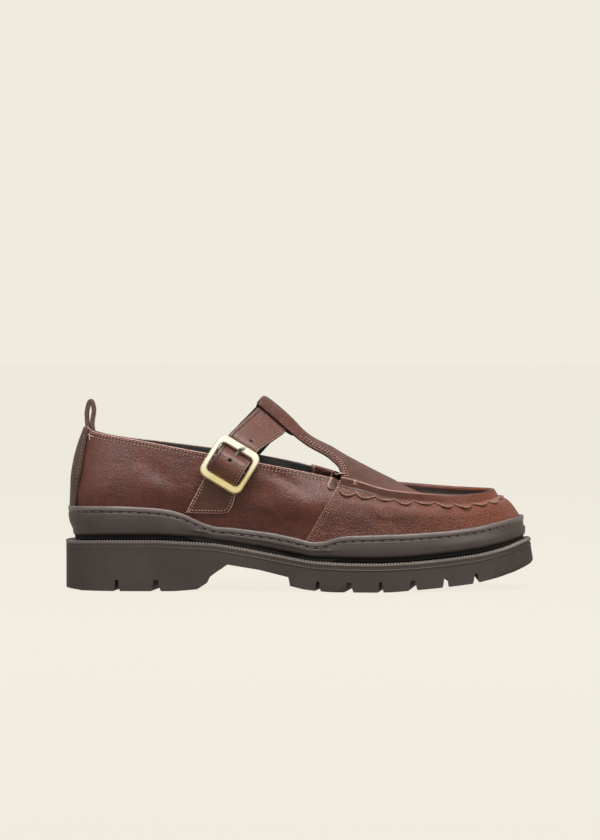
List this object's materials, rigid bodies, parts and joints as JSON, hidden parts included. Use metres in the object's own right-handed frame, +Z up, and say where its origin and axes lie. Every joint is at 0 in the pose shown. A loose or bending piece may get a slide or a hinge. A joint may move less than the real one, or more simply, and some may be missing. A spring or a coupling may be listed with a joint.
{
  "type": "t-bar shoe",
  "caption": "Right T-bar shoe in leather with a raised moccasin seam, a buckled cross strap, a stitched rubber rand, a chunky lugged sole and a heel pull loop.",
  "frame": {"origin": "on the floor, under the middle of the sole's length and width", "axes": "+X from heel to toe, +Y towards the inner side of the foot, +Z up"},
  "size_m": [0.2996, 0.1082, 0.1234],
  "materials": {
    "outsole rubber": "matt moulded rubber",
    "rand rubber": "smooth satin rubber",
    "insole leather": "matt dark sock lining",
    "upper leather": "waxed brown leather, semi-gloss with fine grain",
    "ridge leather": "waxed brown leather, hand sewn",
    "strap leather": "waxed brown leather with folded, stitched edges",
    "tab leather": "waxed brown leather with a stitched edge",
    "buckle brass": "polished pale brass",
    "backstrap leather": "brown leather, stitched"
  },
  "bodies": {
    "root": {"outsole": "outsole rubber", "rand": "rand rubber", "insole": "insole leather", "upper": "upper leather", "moc_ridge": "ridge leather", "cross_strap": "strap leather", "buckle_tab": "tab leather", "buckle_frame": "buckle brass", "buckle_centre_bar": "buckle brass", "buckle_prong": "buckle brass", "backstrap": "backstrap leather"}
  },
  "joints": []
}
